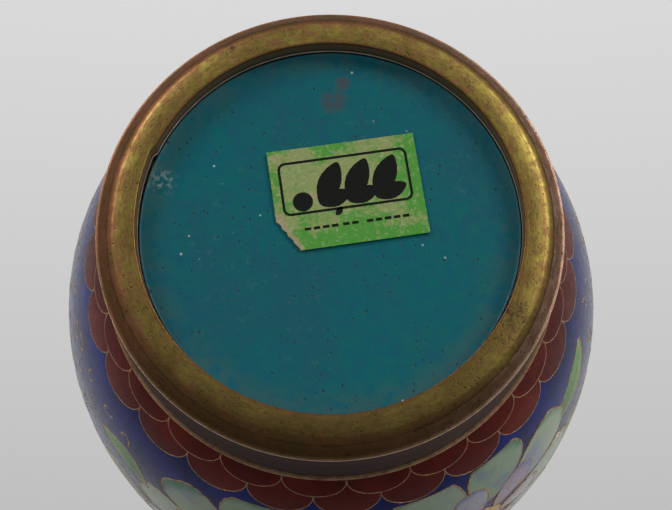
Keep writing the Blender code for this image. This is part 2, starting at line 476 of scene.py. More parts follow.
# Dark spots on the foot ring (place, reach).
DARK_SPOTS = (((-24.2 * MM, -13.2 * MM, 0.0), 2.8 * MM), ((14.4 * MM, 25.4 * MM, 0.0), 1.5 * MM))


def worn_brass(look, broad, blotch, patchy):
    """Olive yellow metal with brown and red-brown patches."""
    worn = look.blend(blotch, 0.38, 0.62, (0.44, 0.35, 0.075), (0.32, 0.235, 0.055))
    worn = look.blend(broad, 0.4, 0.62, worn, (0.24, 0.16, 0.05), 0.6)
    return look.blend(patchy, 0.44, 0.66, worn, (0.27, 0.125, 0.06), 0.75)


def brass_patina(look, blotch, patchy):
    """Red-brown metal of the ring's outer side."""
    patina = look.blend(blotch, 0.42, 0.62, (0.38, 0.165, 0.075), (0.29, 0.165, 0.050))
    return look.blend(patchy, 0.5, 0.75, patina, (0.25, 0.085, 0.045), 0.7)


def patina_border(look, radius, paler, blotch, patchy):
    """0 on the worn flat and 1 on the patina outside it, with a ragged border that lies further out on the
    -X side, partly wear and partly painted light.
    """
    shift = look.times(look.minus(blotch, 0.5), 3.4 * MM)
    wobble = look.times(look.minus(patchy, 0.5), 1.4 * MM)
    edge = look.plus(radius, look.plus(shift, wobble))
    edge = look.minus(edge, look.times(paler, 1.3 * MM))
    return look.ramp(edge, CONTACT_OUTER_RADIUS - 0.8 * MM, CONTACT_OUTER_RADIUS + 0.4 * MM)


def grooved(look, colour, radius, paler, broad, blotch):
    """Adds the turned groove, and outside it a pale rosy band in streaks on the -X side: pink patina with a
    painted highlight where the lamp falls.
    """
    rim = look.ramp(radius, GROOVE_RADIUS, GROOVE_RADIUS + 0.2 * MM)
    streaks = look.ramp(broad, 0.42, 0.58, 0.35, 0.95)
    # Painted highlight: rosy streaks outside the groove on the -X side.
    colour = look.mix(look.times(look.times(rim, paler), streaks), colour, (0.60, 0.37, 0.27))
    off_groove = look.math("ABSOLUTE", look.minus(radius, GROOVE_RADIUS))
    groove = look.ramp(off_groove, 0.05 * MM, 0.2 * MM, 0.6, 0.1)
    return look.mix(look.times(groove, look.ramp(blotch, 0.35, 0.5, 0.4, 1.0)), colour, (0.09, 0.045, 0.03))


def wall_patina_and_shade(look, height, patchy):
    """Near-black brown of the ring's upright wall: brown patina, painted darker as shade, with pale turning
    lines.
    """
    brown = look.blend(patchy, 0.4, 0.65, (0.040, 0.022, 0.026), (0.075, 0.034, 0.018))
    stretched = look.node("ShaderNodeCombineXYZ", {2: look.times(height, 40.0)})
    turning_lines = look.noise(60.0, 3.0, 0.7, vector=stretched)
    return look.blend(turning_lines, 0.5, 0.62, brown, (0.17, 0.10, 0.07), 0.8)


def marked(look, colour, pits, patchy):
    """Adds pits, stains and the two dark spots."""
    colour = look.mix(look.times(pits, 0.75), colour, (0.07, 0.04, 0.02))
    stains = look.times(look.spots(330.0, 0.06, 0.12), look.ramp(patchy, 0.45, 0.6))
    colour = look.mix(look.times(stains, 0.7), colour, (0.05, 0.035, 0.045))
    scratches = look.noise(1500.0, 3.0, 0.7, Distortion=0.8)
    for spot, reach in DARK_SPOTS:
        near = look.ramp(look.distance(look.place(), spot), reach * 0.3, reach, 1.0, 0.0)
        dark_spot = look.times(near, look.ramp(scratches, 0.46, 0.6, 0.1, 0.8))
        colour = look.mix(dark_spot, colour, (0.05, 0.03, 0.03))
    return colour


def foot_brass():
    """Turned brass: a worn flat, patina outside it, a wall of dark patina with painted shade, and a painted
    highlight on the corner bead between them.
    """
    look = Look("foot_brass")
    radius, height, rings = around(look)
    across, along, _ = look.parts(look.place())
    lines = look.noise(5200.0, 2.0, 0.5, vector=rings)
    broad = look.noise(1500.0, 3.0, 0.6, vector=rings)
    blotch = look.noise(150.0, 4.0, 0.6)
    patchy = look.noise(700.0, 4.0, 0.7)
    # Painted light: 1 on the -X side, where the lamp falls, and 0 from the middle on. It widens the worn
    # flat there and adds a rosy painted highlight outside the groove.
    paler = look.ramp(across, -FOOT_RADIUS, 0.0, 1.0, 0.0)
    # Painted shade: the ring darkens towards the -Y side, which lies in shade.
    near_side_shade = look.ramp(along, -FOOT_RADIUS, -0.2 * FOOT_RADIUS, 0.55, 0.0)

    outside = patina_border(look, radius, paler, blotch, patchy)
    colour = look.mix(outside, worn_brass(look, broad, blotch, patchy), brass_patina(look, blotch, patchy))
    colour = grooved(look, colour, radius, paler, broad, blotch)
    colour = look.mix(near_side_shade, colour, (0.07, 0.055, 0.018))
    colour = look.blend(lines, 0.45, 0.7, colour, (0.10, 0.055, 0.025), 0.45)

    # The upright wall gets dark patina, painted darker as shade.
    wall = look.ramp(height, CORNER_HEIGHT + 0.2 * MM, CORNER_HEIGHT + 0.5 * MM)
    colour = look.mix(wall, colour, wall_patina_and_shade(look, height, patchy))
    inner = CONTACT_INNER_RADIUS
    inner_edge = look.ramp(radius, inner + 0.1 * MM, inner + 0.5 * MM, 0.75, 0.0)
    colour = look.mix(inner_edge, colour, (0.20, 0.08, 0.03))
    # The recess wall inside the ring is brown near the flat and near black deeper in, towards the enamel:
    # painted shade.
    inside = look.ramp(radius, inner + SEAM_STEP, inner + SEAM_STEP * 1.5, 1.0, 0.0)
    inside = look.times(inside, look.ramp(height, 0.15 * MM, 0.5 * MM))
    depth = look.ramp(height, 1.2 * MM, 2.6 * MM)
    colour = look.mix(inside, colour, look.mix(depth, (0.20, 0.115, 0.045), (0.035, 0.035, 0.03)))
    # Painted highlight: a thin near-white line on the bead at the ring's corner.
    corner = look.times(
        look.ramp(height, CORNER_HEIGHT - 0.32 * MM, CORNER_HEIGHT - 0.15 * MM),
        look.ramp(height, CORNER_HEIGHT, CORNER_HEIGHT + 0.2 * MM, 1.0, 0.0),
    )
    bright = look.times(corner, look.ramp(patchy, 0.35, 0.6, 0.7, 1.0))
    colour = look.mix(bright, colour, (0.95, 0.70, 0.52))

    pits = look.times(look.spots(1300.0, 0.10, 0.26), look.ramp(blotch, 0.42, 0.55))
    relief = look.plus(look.times(lines, 0.35), look.times(broad, 0.5))
    relief = look.minus(relief, look.times(pits, 0.6))
    dull = look.plus(look.plus(wall, inside), corner)
    look.set(
        Base_Color=marked(look, colour, pits, patchy),
        Metallic=look.ramp(dull, 0.0, 1.0, 0.9, 0.05),
        Roughness=look.plus(look.ramp(patchy, 0.3, 0.8, 0.38, 0.56), look.times(wall, 0.4)),
        Normal=look.bump(relief, 0.03 * MM),
    )
    return look.material


def gilt_wire():
    """Gilded copper wire, worn pale in places and brown in others."""
    look = Look("gilt_wire", Metallic=0.55)
    patchy = look.noise(900.0, 3.0, 0.6)
    colour = look.blend(patchy, 0.40, 0.70, (0.60, 0.39, 0.22), (0.36, 0.19, 0.11))
    look.set(Base_Color=colour, Roughness=look.ramp(patchy, 0.3, 0.7, 0.30, 0.5))
    look.set(Normal=look.bump(look.noise(3000.0), 0.02 * MM))
    return look.material


def mouth_brass():
    """Polished brass of the mouth's bead, with brown tarnish in patches and fine turning lines."""
    look = Look("mouth_brass", Metallic=1.0)
    rings = around(look)[2]
    lines = look.noise(5200.0, 2.0, 0.5, vector=rings)
    blotch = look.noise(240.0, 4.0, 0.65)
    colour = look.blend(blotch, 0.4, 0.62, (0.66, 0.50, 0.18), (0.36, 0.23, 0.08))
    colour = look.blend(lines, 0.5, 0.75, colour, (0.20, 0.12, 0.05), 0.35)
    look.set(Base_Color=colour, Roughness=look.ramp(blotch, 0.35, 0.7, 0.24, 0.48))
    look.set(Normal=look.bump(lines, 0.02 * MM))
    return look.material


def copper():
    look = Look("copper", Metallic=1.0)
    patchy = look.noise(350.0, 4.0)
    look.set(Base_Color=look.mix(patchy, (0.62, 0.30, 0.18), (0.36, 0.14, 0.08)))
    look.set(Roughness=look.ramp(patchy, 0.3, 0.7, 0.35, 0.55), Normal=look.bump(patchy, 0.1 * MM))
    return look.material


# Brown stains (place, reach) and the middle of the chipped patch in the counter enamel.
STAINS = (((-1.8 * MM, 21.7 * MM, BASE_LOW.z), 1.6 * MM), ((-0.5 * MM, 19.0 * MM, BASE_LOW.z), 2.6 * MM))
CHIPS = (23.4 * MM, 6.8 * MM, BASE_LOW.z)


def enamel_ground(look, cloud, mottle, grain):
    """Mottled teal with a grey haze, and greyer towards the foot ring."""
    colour = look.blend(cloud, 0.35, 0.68, (0.0, 0.102, 0.128), (0.004, 0.096, 0.120))
    colour = look.blend(mottle, 0.46, 0.62, colour, (0.001, 0.116, 0.112), 0.6)
    colour = look.mix(look.ramp(mottle, 0.34, 0.46, 0.5, 0.0), colour, (0.006, 0.080, 0.126))
    colour = look.blend(grain, 0.45, 0.8, colour, (0.003, 0.066, 0.088), 0.5)
    radius = around(look)[0]
    border = look.ramp(radius, BASE_HIGH.x - 5.0 * MM, BASE_HIGH.x, 0.0, 0.45)
    border = look.times(border, look.ramp(mottle, 0.35, 0.6))
    colour = look.mix(border, colour, (0.055, 0.075, 0.08))
    haze = look.ramp(look.noise(45.0, 3.0, 0.6), 0.45, 0.7, 0.0, 0.6)
    return look.mix(haze, colour, (0.007, 0.080, 0.112))


def enamel_pits(look, cloud, grain):
    """Many small pits in patches, and a few large ones."""
    patches = look.ramp(look.noise(210.0, 2.0), 0.36, 0.5)
    patches = look.times(patches, look.ramp(grain, 0.35, 0.6))
    small = look.times(look.spots(760.0, 0.07, 0.24), patches)
    large = look.times(look.spots(230.0, 0.03, 0.09), look.ramp(cloud, 0.4, 0.55))
    return look.math("MAXIMUM", small, large)


def counter_enamel(name):
    """Coarse teal enamel: mottled, with dark pits, pale specks, brown stains and faint scuffs."""
    look = Look(name, IOR=1.5, Specular_IOR_Level=0.2)
    place = look.place()
    cloud = look.noise(95.0, 4.0, 0.6)
    mottle = look.noise(520.0, 3.0, 0.6)
    grain = look.noise(1500.0, 3.0, 0.7)
    colour = enamel_ground(look, cloud, mottle, grain)
    for spot, reach in STAINS:
        stain = look.ramp(look.distance(place, spot), reach * 0.3, reach, 1.0, 0.0)
        stain = look.times(stain, look.ramp(mottle, 0.35, 0.6))
        colour = look.mix(look.times(stain, 0.55), colour, (0.075, 0.035, 0.045))
    pits = enamel_pits(look, cloud, grain)
    colour = look.mix(look.times(pits, 0.75), colour, (0.008, 0.020, 0.030))
    chips = look.ramp(look.distance(place, CHIPS), 0.6 * MM, 2.8 * MM, 1.0, 0.0)
    chips = look.times(chips, look.ramp(grain, 0.52, 0.6))
    colour = look.mix(look.times(chips, 0.5), colour, (0.26, 0.33, 0.33))
    shifted = look.node("ShaderNodeVectorMath", {0: place, 1: (0.3, 0.1, 0.0)}, operation="ADD")
    thinned = look.ramp(look.noise(120.0, 2.0, vector=shifted), 0.48, 0.56)
    specks = look.times(look.spots(330.0, 0.03, 0.08, vector=shifted), thinned)
    colour = look.mix(look.times(specks, 0.85), colour, (0.40, 0.46, 0.42))
    scuffs = look.noise(700.0, 2.0, 0.5, Distortion=1.5)
    scuffs = look.times(look.ramp(scuffs, 0.6, 0.68), look.ramp(cloud, 0.5, 0.6))
    colour = look.mix(look.times(scuffs, 0.08), colour, (0.16, 0.24, 0.25))
    look.set(
        Base_Color=colour,
        Roughness=look.ramp(grain, 0.3, 0.7, 0.34, 0.5),
        Normal=look.bump(look.minus(look.times(grain, 0.4), pits), 0.06 * MM),
    )
    return look.material


def glaze(name, colour_of, gloss=0.14):
    """Polished enamel over a colour, with the small pits and soft waves that grinding leaves."""
    look = Look(name, IOR=1.5, Specular_IOR_Level=0.4, Coat_Weight=0.2, Coat_Roughness=0.06)
    grain = look.noise(800.0, 3.0, 0.6)
    pits = look.times(look.spots(620.0, 0.04, 0.12), look.ramp(look.noise(250.0, 2.0), 0.5, 0.62))
    colour = colour_of(look, grain)
    colour = look.mix(look.times(pits, 0.7), colour, (0.01, 0.01, 0.012))
    wave = look.noise(160.0, 2.0)
    height = look.plus(look.times(wave, 0.9), look.times(grain, 0.12))
    height = look.minus(height, look.times(pits, 0.8))
    look.set(
        Base_Color=colour,
        Roughness=look.ramp(grain, 0.3, 0.7, gloss, gloss + 0.14),
        Normal=look.bump(height, 0.03 * MM),
    )
    return look.material


def plain(first, second):
    """A colour that drifts between two near shades, cell by cell and inside each cell."""

    def colour_of(look, grain):
        drift = look.noise(130.0, 3.0)
        mixed = look.plus(look.times(drift, 0.7), look.times(grain, 0.3))
        return look.blend(mixed, 0.35, 0.65, first, second)

    return colour_of


def shaded(base, body, rim):
    """A cell that goes from its base colour along to its body colour, and to its rim colour at the edge."""

    def colour_of(look, grain):
        along = look.plus(look.attribute("along"), look.times(grain, 0.5))
        tone = look.attribute("tone")
        colour = look.blend(along, 0.25, 1.05, base, body)
        edge = look.plus(look.attribute("edge"), look.times(grain, 0.35))
        colour = look.mix(look.times(look.ramp(edge, 0.85, 1.3), 0.7), colour, rim)
        colour = look.mix(look.times(tone, 0.3), colour, base)
        return look.blend(grain, 0.55, 0.8, colour, rim, 0.25)

    return colour_of


def petal_colours(heart, body, rim, cloud):
    """A petal that goes from its heart colour to a pale body, clouded, with a deep rim at its tip."""

    def colour_of(look, grain):
        along = look.attribute("along")
        drift = look.noise(95.0, 3.0)
        colour = look.blend(along, 0.05, 0.45, heart, body)
        colour = look.blend(drift, 0.48, 0.62, colour, cloud, 0.75)
        tip = look.times(look.attribute("edge"), look.ramp(along, 0.45, 0.9))
        tip = look.plus(tip, look.times(look.minus(drift, 0.5), 0.8))
        colour = look.blend(tip, 0.62, 1.0, colour, rim, 0.9)
        colour = look.mix(look.times(look.attribute("tone"), 0.25), colour, rim)
        return look.blend(grain, 0.5, 0.75, colour, heart, 0.2)

    return colour_of


def label_paper():
    """Coated paper with a mottled green ground worn through to cream and tan."""
    look = Look("label_paper", Roughness=0.6, IOR=1.45)
    cloud = look.noise(190.0, 4.0, 0.7)
    grain = look.noise(1900.0, 3.0, 0.7)
    mixed = look.plus(look.times(cloud, 0.75), look.times(grain, 0.25))
    mixed = look.minus(mixed, look.times(look.attribute("fresh"), 0.16))
    colour = look.blend(mixed, 0.40, 0.54, (0.050, 0.245, 0.020), (0.215, 0.265, 0.090))
    tan = look.ramp(look.plus(look.noise(330.0, 3.0, 0.6), look.attribute("torn")), 0.6, 0.7, 0.0, 0.7)
    colour = look.mix(tan, colour, (0.34, 0.24, 0.16))
    colour = look.blend(grain, 0.5, 0.72, colour, (0.34, 0.38, 0.20), 0.6)
    look.set(Base_Color=colour, Normal=look.bump(grain, 0.05 * MM))
    return look.material


def label_ink():
    look = Look("label_ink", IOR=1.45, Specular_IOR_Level=0.15)
    grain = look.noise(2500.0, 3.0, 0.7)
    paler = look.ramp(grain, 0.6, 0.85, 0.0, 0.5)
    look.set(Base_Color=look.mix(paler, (0.006, 0.007, 0.006), (0.07, 0.08, 0.04)))
    look.set(Roughness=look.ramp(grain, 0.3, 0.7, 0.4, 0.6))
    return look.material


def studio_floor():
    """A pale floor that only shows from above."""
    look = Look("studio_floor", Roughness=0.8)
    drift = look.noise(6.0, 2.0)
    pale = look.mix(drift, (0.62, 0.62, 0.62), (0.66, 0.66, 0.66))
    look.set(Base_Color=pale, Emission_Color=pale, Emission_Strength=0.3)
    under = look.node("ShaderNodeNewGeometry", {}, output="Backfacing")
    clear = look.node("ShaderNodeBsdfTransparent", {})
    shown = look.node("ShaderNodeMixShader", {0: under, 1: look.shader.outputs[0], 2: clear})
    look.tree.links.new(shown, look.tree.nodes["Material Output"].inputs["Surface"])
    return look.material


# ---------------------------------------------------------------- pieces of the foot and base


def notched(radius, height, angle):
    """Steps the inner edge back at the ring's brazed seam; the step fades out on one side."""
    past = (SEAM_ANGLE - angle) % math.tau
    if radius > CONTACT_INNER_RADIUS + 0.6 * MM:
        return radius, height
    return radius + SEAM_STEP * math.exp(-past / SEAM_FADE), height


def make_foot_ring(brass):
    """The turned ring: a broken inner edge, a soft fall outside, and a fine bead at the corner."""
    break_radius = 0.18 * MM
    bead_radius = 0.2 * MM
    points = []
    for step in range(5):
        turn = math.pi / 2 * step / 4
        radius = CONTACT_INNER_RADIUS + break_radius * (1 - math.cos(turn))
        points.append((radius, break_radius * (1 - math.sin(turn))))
    points.append((CONTACT_OUTER_RADIUS - 1.4 * MM, 0.0))
    fall = FOOT_RADIUS - 0.25 * MM - CONTACT_OUTER_RADIUS
    for step in range(9):
        across = step / 8
        points.append((CONTACT_OUTER_RADIUS + fall * across, (CORNER_HEIGHT - 0.3 * MM) * across**1.5))
    bead_centre = (FOOT_RADIUS - 0.14 * MM, CORNER_HEIGHT - 0.1 * MM)
    points += arc(bead_centre, bead_radius, math.radians(-110), math.radians(20), 6)
    wall_foot = (FOOT_RADIUS - 0.1 * MM, CORNER_HEIGHT + 0.4 * MM)
    for step in range(9):
        across = step / 8
        radius = wall_foot[0] + (FOOT_TOP.x - wall_foot[0]) * across
        points.append((radius, wall_foot[1] + (FOOT_TOP.z - wall_foot[1]) * across))
    points += [
        (FOOT_WALL_INNER_RADIUS, FOOT_TOP.z),
        (FOOT_WALL_INNER_RADIUS, LEDGE_HEIGHT),
        (CONTACT_INNER_RADIUS, LEDGE_HEIGHT),
        (CONTACT_INNER_RADIUS, break_radius * 4),
    ]
    turned("turned_foot_ring", points, brass, reshape=notched, node=("foot_ring",), slot="foot_brass")


def make_base(teal):
    """The enamelled underside: a shallow dish that creeps up the ring's wall in a thin fillet."""
    radius = BASE_HIGH.x
    fillet = 0.45 * MM
    dish = 0.25 * MM
    climb = 0.2 * MM
    points = [(0.0, BASE_LOW.z + dish)]
    for step in range(1, 25):
        across = step / 24
        points.append(((radius - fillet) * across, BASE_LOW.z + dish * (1 - across**3)))
    for step in range(1, 7):
        turn = math.pi / 2 * step / 6
        height = BASE_LOW.z - climb * (1 - math.cos(turn))
        points.append((radius - fillet * (1 - math.sin(turn)), height))
    points += [(radius, BASE_HIGH.z), (0.0, BASE_HIGH.z)]

    def uneven(radius, height, angle):
        creep = 0.15 * MM * math.sin(3 * angle + 1.0) * math.sin(7 * angle + 2.0)
        close = max(0.0, (radius / BASE_HIGH.x - 0.965) / 0.035)
        return radius, height + (creep * close if height < BASE_HIGH.z else 0.0)

    node = ("base_counter_enamel",)
    turned("enamelled_base", points, teal, reshape=uneven, node=node, slot="teal_enamel")


def label_point(x, y, below):
    """A drawn point of the label, at a distance under the paper. Its reading direction is -X."""
    cos, sin = math.cos(LABEL_TURN), math.sin(LABEL_TURN)
    along = -(x * cos - y * sin)
    up = x * sin + y * cos
    half_width, half_height = LABEL_SIZE[0] / 2, LABEL_SIZE[1] / 2
    curl = 0.22 * MM * max(0.0, -x / half_width - 0.55) * max(0.0, y / half_height + 0.2)
    curl += 0.30 * MM * max(0.0, x / half_width - 0.7) * max(0.0, -y / half_height - 0.3)
    return (LABEL_CENTRE.x + along, LABEL_CENTRE.y + up, LABEL_LOW.z - below - curl)


def label_left_edge(y):
    """Left edge of the sheet at height y: straight, then torn inwards to the bottom."""
    half_width, half_height = LABEL_SIZE[0] / 2, LABEL_SIZE[1] / 2
    torn = max(0.0, (-half_height + LABEL_TEAR[1] - y) / LABEL_TEAR[1])
    ragged = 0.12 * MM * math.sin(y / MM * 5.1) + 0.08 * MM * math.sin(y / MM * 11.3 + 1)
    return -half_width + LABEL_TEAR[0] * torn + (ragged if torn > 0 else ragged * 0.3)


def make_label(paper, ink):
    """A thin sheet with a torn corner, printed with a plain frame, a leaf spray and a row of dashes."""
    bm = bmesh.new()
    fresh = bm.verts.layers.float.new("fresh")
    torn = bm.verts.layers.float.new("torn")
    half_width, half_height = LABEL_SIZE[0] / 2, LABEL_SIZE[1] / 2
    columns, rows = 36, 26
    sheets = []

    def corner(x, y, below):
        vert = bm.verts.new(label_point(x, y, below))
        across, up = x / half_width, y / half_height
        middle = math.exp(-((across / 0.35) ** 2))
        vert[fresh] = max(0.0, across * 3 - 2, -up * 3 - 1.6, (up * 4 - 3) * middle)
        vert[torn] = 0.35 * math.exp(-(((x - label_left_edge(y)) / (0.8 * MM)) ** 2)) * (up < -0.3)
        return vert

    for below in (0.0, -(LABEL_HIGH.z - LABEL_LOW.z) * 0.9):
        grid = []
        for row in range(rows + 1):
            y = -half_height + LABEL_SIZE[1] * row / rows
            left, right = label_left_edge(y), LABEL_SIZE[0] / 2
            across = [left + (right - left) * column / columns for column in range(columns + 1)]
            grid.append([corner(x, y, below) for x in across])
        for low, high in zip(grid, grid[1:]):
            for column in range(columns):
                bm.faces.new((low[column], low[column + 1], high[column + 1], high[column]))
        sheets.append(grid)
    border = []
    for grid in sheets:
        right_side = [row[-1] for row in grid[1:]]
        left_side = [row[0] for row in grid[-2:0:-1]]
        border.append([*grid[0], *right_side, *grid[-1][-2::-1], *left_side])
    for near, far in neighbours(list(zip(*border))):
        bm.faces.new((near[0], far[0], far[1], near[1]))
    bmesh.ops.recalc_face_normals(bm, faces=bm.faces)
    make_object("label_sheet", bm, paper, node=("paper_label",), slot="label_paper")
    make_print(ink)


INK_LIFT = 0.03 * MM


def printed_strip(bm, path, width, closed=False):
    """A flat printed line along a path on the label."""
    pairs = []
    for (x, y), aside in zip(path, asides(path, closed)):
        sides = [(x + aside[0] * across, y + aside[1] * across) for across in (-width / 2, width / 2)]
        pairs.append([bm.verts.new(label_point(*side, INK_LIFT)) for side in sides])
    for near, far in neighbours(pairs, closed):
        bm.faces.new((near[0], far[0], far[1], near[1]))


def printed_leaf(bm, foot, turn, length, width, below):
    """A solid pointed leaf that grows from its foot."""
    points = []
    for phase in turns(20):
        x = length * (1 - math.cos(phase)) / 2
        y = width * math.sin(phase) * (1 - 0.4 * math.cos(phase) ** 2)
        along = foot.x + x * math.cos(turn) - y * math.sin(turn)
        points.append((along, foot.y + x * math.sin(turn) + y * math.cos(turn)))
    bm.faces.new([bm.verts.new(label_point(*point, below)) for point in points])


def printed_frame(bm, centre, half, corner, width):
    """A rectangular frame with round corners."""
    quarters = ((1, -1), (1, 1), (-1, 1), (-1, -1))

    def corner_point(quarter, turn):
        across, up = quarters[quarter % 4]
        x = centre.x + across * (half.x - corner) + corner * math.cos(turn)
        return Vector((x, centre.y + up * (half.y - corner) + corner * math.sin(turn)))

    path = []
    for quarter in range(4):
        bends = [math.pi / 2 * (quarter - 1 + step / 5) for step in range(6)]
        path += [corner_point(quarter, turn) for turn in bends]
        start, end = path[-1], corner_point(quarter + 1, bends[-1])
        path += [start.lerp(end, share / 8) for share in range(1, 8)]
    printed_strip(bm, path, width, closed=True)


def make_print(ink):
    """A frame, a dot and three pairs of leaves in it, a small blot, and a row of dashes."""
    bm = bmesh.new()
    printed_frame(bm, Vector((-0.1 * MM, 1.6 * MM)), Vector((8.9 * MM, 3.75 * MM)), 0.9 * MM, 0.36 * MM)
    dot = arc((-6.3 * MM, -0.5 * MM), 1.4 * MM, 0.0, math.tau, 20)[:-1]
    bm.faces.new([bm.verts.new(label_point(*point, INK_LIFT)) for point in dot])
    for index in range(3):
        foot = Vector(((-3.9 + 3.9 * index) * MM, -1.3 * MM))
        printed_leaf(bm, foot, math.radians(62), 6.7 * MM, 1.6 * MM, INK_LIFT)
        printed_leaf(bm, foot, math.radians(18), 4.6 * MM, 1.2 * MM, INK_LIFT + 0.01 * MM)
    blot = Vector((-2.0 * MM, -3.1 * MM))
    printed_leaf(bm, blot, math.radians(50), 1.5 * MM, 0.45 * MM, INK_LIFT)
    height = -4.5 * MM
    for first, count in ((-6.6, 4), (-1.3, 2), (2.0, 5)):
        for index in range(count):
            start = (first + index * 1.25) * MM
            printed_strip(bm, [(start, height), (start + 0.9 * MM, height)], 0.4 * MM)
    bmesh.ops.recalc_face_normals(bm, faces=bm.faces)
    make_object("label_print", bm, ink, slot="label_paper", smooth=False)


# ---------------------------------------------------------------- pattern shapes


def petal_shape(base, tip, width):
    """A rounded petal, widest near its tip, with a slight notch there."""
    shape = []
    for phase in turns(SHAPE_POINTS):
        share = (1 - math.cos(phase)) / 2
        notch = 0.05 * math.exp(-(((phase - math.pi) / 0.3) ** 2))
        y = base + (tip - base) * (share - notch)
        x = -width * math.sin(phase) * (0.62 + 0.5 * share)
        shape.append((x, y))
    return shape


def leaf_shape(length, width):
    """A pointed leaf, bent to one side."""
    shape = []
    for phase in turns(SHAPE_POINTS):
        share = (1 - math.cos(phase)) / 2
        side = -math.sin(phase)
        swell = math.sin(math.pi * share)
        shape.append((width * side * (0.55 + 0.45 * swell) + LEAF_BEND * length * swell, length * share))
    return shape


def middle_of(shape):
    return tuple(sum(p[i] for p in shape) / len(shape) for i in range(2))


def arch(half_width, low, high):
    """A rounded arch from one foot to the other."""
    path = []
    for step in range(13):
        turn = math.pi * step / 12
        path.append((-half_width * math.cos(turn), low + (high - low) * math.sin(turn) ** 0.85))
    return path


def scale_row(cells, count, turn, base, low, high, colour, lift):
    """A row of scales: each a cell from its base up to a rounded tip."""
    for index in range(count):
        angle = math.tau * (index + 0.5 + turn) / count
        half = math.pi * outline(place_at((low + high) / 2)).x / count
        chart = Chart(angle, 0.0)
        path = arch(half * 0.985, low, high)
        shape = [*path, (half * 0.985, base), (-half * 0.985, base)]
        cells.fill(chart, shape, (0.0, (base + high) / 2), colour, lift)
        cells.wire(chart, path, width=WIRE_WIDTH * 0.5, lift=lift + WIRE_HEIGHT)


def curl(cells, angle, length, size, turn, hand):
    """A cloud scroll: a hooked spiral of wire with a short tail."""
    chart = Chart(angle, length, turn)
    path = [(size * 1.25, -size * 0.25 * hand), (size * 1.1, size * 0.15 * hand)]
    for step in range(13):
        t = step / 12
        radius = size * (0.62 - 0.42 * t)
        phase = hand * (0.4 + 4.6 * t)
        path.append((size * 0.3 + radius * math.cos(phase), radius * math.sin(phase)))
    cells.wire(chart, path, width=WIRE_WIDTH * 0.85)


def flower(cells, angle, length, radius, turn, petals, lowest=0.0, layer=0):
    """Two rings of petals round a heart. A flower of a higher layer lies over its neighbours."""
    rings = (("petal", petals, 0.34, 1.0, 0.736), ("blush_petal", petals - 2, 0.2, 0.62, 0.72 * 0.736))
    for ring, (colour, count, base, tip, fill) in enumerate(rings):
        for index in range(count):
            spin = turn + math.tau * (index + 0.5 * ring) / count
            top = tip * radius * random.uniform(0.93, 1.05)
            shape = petal_shape(base * radius, top, fill * math.pi * tip * radius / count)
            chart = Chart(angle, length, spin, lowest)
            lift = CELL_LIFT * (1 + 2 * ring + 0.7 * (index % 2) + 5 * layer)
            cells.cell(chart, shape, middle_of(shape), colour, lift)
    heart = arc((0.0, 0.0), 0.2 * radius, 0.0, math.tau, 18)[:-1]
    cells.cell(Chart(angle, length, turn), heart, (0.0, 0.0), "heart", CELL_LIFT * (5.5 + 5 * layer))


def leaf(cells, angle, length, turn, size, width):
    shape = leaf_shape(size, width)
    chart = Chart(angle, length, turn)
    cells.cell(chart, shape, middle_of(shape), "leaf", CELL_LIFT * 0.8)
    steps = [0.04 + 0.8 * i / 8 for i in range(9)]
    rib = [(LEAF_BEND * size * math.sin(math.pi * t), size * t) for t in steps]
    cells.wire(chart, rib, width=WIRE_WIDTH * 0.7, lift=WIRE_HEIGHT + CELL_LIFT)


# ---------------------------------------------------------------- decorated bands


def make_bands(looks, wire_look):
    aside = 0.13 * MM
    bands = (
        ("scale", "cobalt", "red_enamel", FOOT_WIRE, SCALE_TOP, aside, 0.0),
        ("belly", "cobalt", "cobalt_enamel", SCALE_TOP, SHOULDER_LOW, 0.0, aside),
        ("shoulder", "turquoise", "turquoise_enamel", SHOULDER_LOW, SHOULDER_HIGH, aside, aside),
        ("neck", "cobalt", "cobalt_enamel", SHOULDER_HIGH, LIP_WIRE, aside, aside),
        ("lip", "turquoise", "red_enamel", LIP_WIRE, LIP_END, aside, 0.15 * MM),
    )
    for band, colour, slot, first, last, low, high in bands:
        points = band_rows(first, last, (low, high))
        turned(f"{band}_ground", points, looks[colour], node=(f"{band}_enamel",), slot=slot)
    borders = (
        ("foot_border", "foot_border_wire", FOOT_WIRE),
        ("shoulder_border_low", "shoulder_wire_low", SHOULDER_LOW),
        ("shoulder_border_high", "shoulder_wire_high", SHOULDER_HIGH),
        ("lip_border", "lip_border_wire", LIP_WIRE),
    )
    half = 0.12 * MM
    for name, node, place in borders:
        crown = ((0.0, -half), (-0.07 * MM, -half * 0.6), (-0.09 * MM, 0), (-0.07 * MM, half * 0.6))
        corners = ((ENAMEL, half), (ENAMEL, -half), *crown, (0.0, half))
        points = [wall_point(place, depth, along) for depth, along in corners]
        turned(name, points, wire_look, node=(node,), slot="gilt_wire")


def make_scales(looks, wire_look):
    """Two rows of scales that point up from the foot, the lower row over the upper one."""
    start = length_at(FOOT_WIRE) + 0.1 * MM
    lower, upper = Cells(), Cells()
    scale_row(upper, SCALES, 0.5, start, LOWER_TIP - 0.1 * MM, UPPER_TIP, "scale", CELL_LIFT)
    upper.make("upper_scales", looks, wire_look, ("scale_wire_upper",))
    scale_row(lower, SCALES, 0.0, start, start + 0.15 * MM, LOWER_TIP, "raised_scale", CELL_LIFT * 2)
    lower.make("lower_scales", looks, wire_look, ("scale_wire_lower",))


